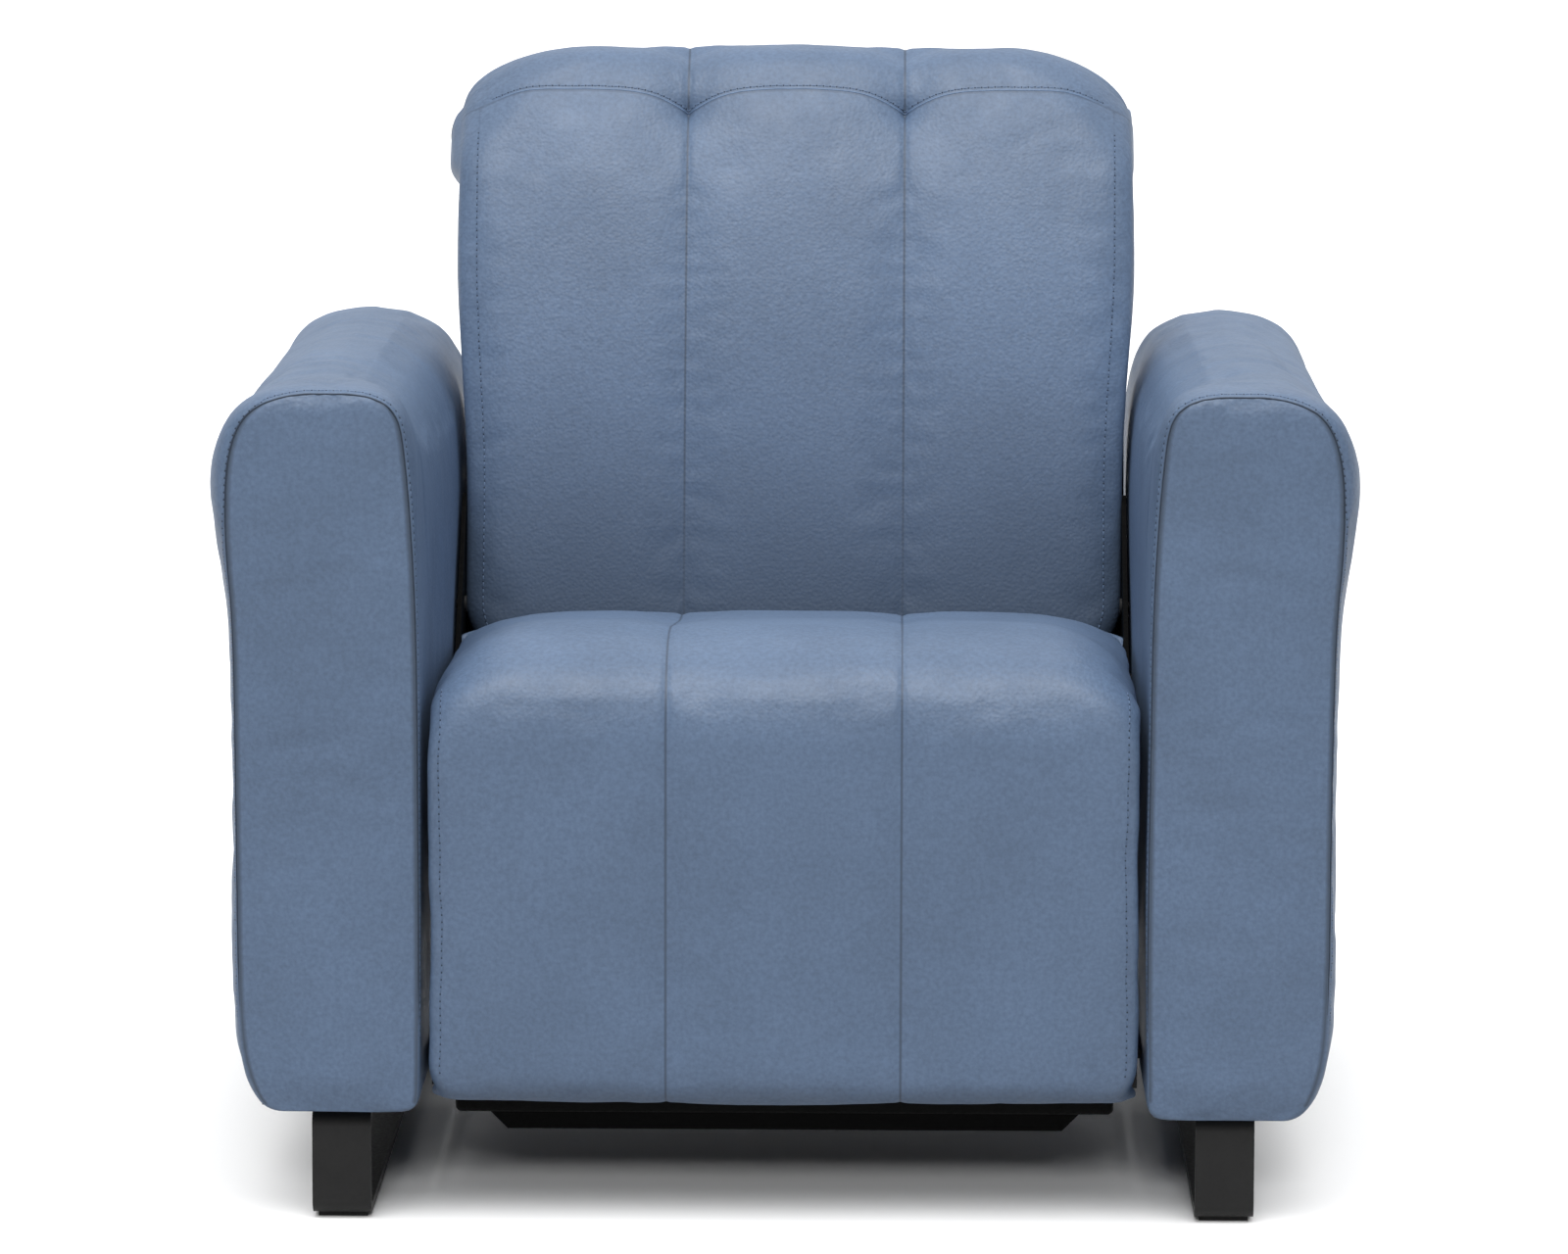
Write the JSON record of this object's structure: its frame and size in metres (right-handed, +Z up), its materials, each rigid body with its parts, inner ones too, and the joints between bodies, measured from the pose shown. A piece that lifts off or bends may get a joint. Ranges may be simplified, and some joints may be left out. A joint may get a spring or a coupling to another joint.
{
  "type": "reclining armchair",
  "caption": "Padded leather power reclining armchair with channelled cushions, fold-out legrest, sliding seat, tilting back and flat-bar sled legs.",
  "frame": {"origin": "floor level, middle of the width and of the depth of the closed chair", "axes": "+Z up, the front of the chair faces -Y, +X to the viewer's right when looking at the front"},
  "size_m": [0.9208, 0.8597, 0.9152],
  "materials": {
    "leather": "soft pebble-grain upholstery leather over foam",
    "back_leather": "the same leather stretched over board",
    "timber": "bare plywood and softwood, hidden",
    "black_steel": "black powder coat",
    "plated_steel": "zinc plated",
    "black_plastic": "moulded black plastic",
    "switch_plastic": "satin grey plastic",
    "webbing": "woven elastic webbing"
  },
  "bodies": {
    "base": {"left_arm_frame": "timber", "right_arm_frame": "timber", "left_arm_cover": "leather", "right_arm_cover": "leather", "left_sled_leg": "black_steel", "right_sled_leg": "black_steel", "leg_glides": "black_plastic", "leg_screws": "plated_steel", "left_base_rail": "black_steel", "right_base_rail": "black_steel", "front_cross_tube": "black_steel", "guard_plate_bolts": "plated_steel", "front_guard_plate": "black_steel", "rear_panel": "back_leather", "control_box": "black_plastic", "power_inlet": "black_plastic", "left_pivot_plate": "plated_steel", "right_pivot_plate": "plated_steel", "arm_bolts": "plated_steel", "switch_housing": "black_plastic"},
    "front_links": {"left_front_link": "plated_steel", "right_front_link": "plated_steel", "front_link_tube": "plated_steel"},
    "back": {"left_back_bracket": "plated_steel", "right_back_bracket": "plated_steel", "back_bracket_bolts": "plated_steel", "back_side_rails": "timber", "back_cross_rails": "timber", "back_webbing": "webbing", "back_cushion": "leather", "head_roll": "leather", "outer_back_panel": "back_leather"},
    "seat": {"seat_side_rails": "timber", "seat_cross_rails": "timber", "seat_springs": "plated_steel", "spring_clips": "plated_steel", "seat_cushion": "leather", "left_seat_plate": "plated_steel", "right_seat_plate": "plated_steel", "seat_plate_bolts": "plated_steel", "legrest_motor": "black_plastic", "recline_motor": "black_plastic"},
    "legrest": {"legrest_board": "timber", "legrest_pad": "leather", "left_legrest_bracket": "plated_steel", "right_legrest_bracket": "plated_steel", "legrest_bracket_screws": "plated_steel"},
    "legrest_cranks": {"left_legrest_crank": "plated_steel", "right_legrest_crank": "plated_steel", "legrest_torque_tube": "plated_steel"},
    "left_idler": {"left_idler_crank": "plated_steel"},
    "right_idler": {"right_idler_crank": "plated_steel"},
    "left_upper_link": {"left_upper_link": "plated_steel"},
    "right_upper_link": {"right_upper_link": "plated_steel"},
    "left_lower_link": {"left_lower_link": "plated_steel"},
    "right_lower_link": {"right_lower_link": "plated_steel"},
    "legrest_rocker": {"legrest_rocker": "switch_plastic"},
    "recline_rocker": {"recline_rocker": "switch_plastic"}
  },
  "joints": [
    {"name": "back_recline", "type": "hinge", "parent": "base", "child": "back", "pos_m": [0, 0.1688, 0.5055], "axis": [-1, 0, 0], "range_deg": [0, 35]},
    {"name": "seat_level", "type": "hinge", "parent": "back", "child": "seat", "pos_m": [0, 0.1798, 0.38], "axis": [-1, 0, 0], "range_deg": [-35, 0]},
    {"name": "front_link_swing", "type": "hinge", "parent": "base", "child": "front_links", "pos_m": [0, 0.0168, 0.3475], "axis": [-1, 0, 0], "range_deg": [0, 35]},
    {"name": "legrest_open", "type": "hinge", "parent": "seat", "child": "legrest", "pos_m": [0, -0.4112, 0.456], "axis": [-1, 0, 0], "range_deg": [0, 85]},
    {"name": "crank_turn", "type": "hinge", "parent": "seat", "child": "legrest_cranks", "pos_m": [0, -0.2202, 0.32], "axis": [-1, 0, 0], "range_deg": [0, 85]},
    {"name": "left_idler_turn", "type": "hinge", "parent": "seat", "child": "left_idler", "pos_m": [0, -0.1102, 0.32], "axis": [-1, 0, 0], "range_deg": [0, 85]},
    {"name": "left_upper_link_turn", "type": "hinge", "parent": "legrest_cranks", "child": "left_upper_link", "pos_m": [0, -0.1482, 0.2], "axis": [-1, 0, 0], "range_deg": [-85, 0]},
    {"name": "left_lower_link_turn", "type": "hinge", "parent": "legrest_cranks", "child": "left_lower_link", "pos_m": [0, -0.1482, 0.13], "axis": [-1, 0, 0], "range_deg": [-85, 0]},
    {"name": "right_idler_turn", "type": "hinge", "parent": "seat", "child": "right_idler", "pos_m": [0, -0.1102, 0.32], "axis": [-1, 0, 0], "range_deg": [0, 85]},
    {"name": "right_upper_link_turn", "type": "hinge", "parent": "legrest_cranks", "child": "right_upper_link", "pos_m": [0, -0.1482, 0.2], "axis": [-1, 0, 0], "range_deg": [-85, 0]},
    {"name": "right_lower_link_turn", "type": "hinge", "parent": "legrest_cranks", "child": "right_lower_link", "pos_m": [0, -0.1482, 0.13], "axis": [-1, 0, 0], "range_deg": [-85, 0]},
    {"name": "legrest_rocker_tilt", "type": "hinge", "parent": "base", "child": "legrest_rocker", "pos_m": [-0.443, -0.2472, 0.44], "axis": [0, 1, 0], "range_deg": [-8, 8], "stiffness_Nm_per_rad": 0.3},
    {"name": "recline_rocker_tilt", "type": "hinge", "parent": "base", "child": "recline_rocker", "pos_m": [-0.443, -0.2092, 0.44], "axis": [0, 1, 0], "range_deg": [-8, 8], "stiffness_Nm_per_rad": 0.3}
  ],
  "couplings": [
    {"joint": "seat_level", "follows": "back_recline", "ratio": -1},
    {"joint": "front_link_swing", "follows": "back_recline", "ratio": 1},
    {"joint": "crank_turn", "follows": "legrest_open", "ratio": 1},
    {"joint": "left_idler_turn", "follows": "legrest_open", "ratio": 1},
    {"joint": "left_upper_link_turn", "follows": "legrest_open", "ratio": -1},
    {"joint": "left_lower_link_turn", "follows": "legrest_open", "ratio": -1},
    {"joint": "right_idler_turn", "follows": "legrest_open", "ratio": 1},
    {"joint": "right_upper_link_turn", "follows": "legrest_open", "ratio": -1},
    {"joint": "right_lower_link_turn", "follows": "legrest_open", "ratio": -1}
  ]
}
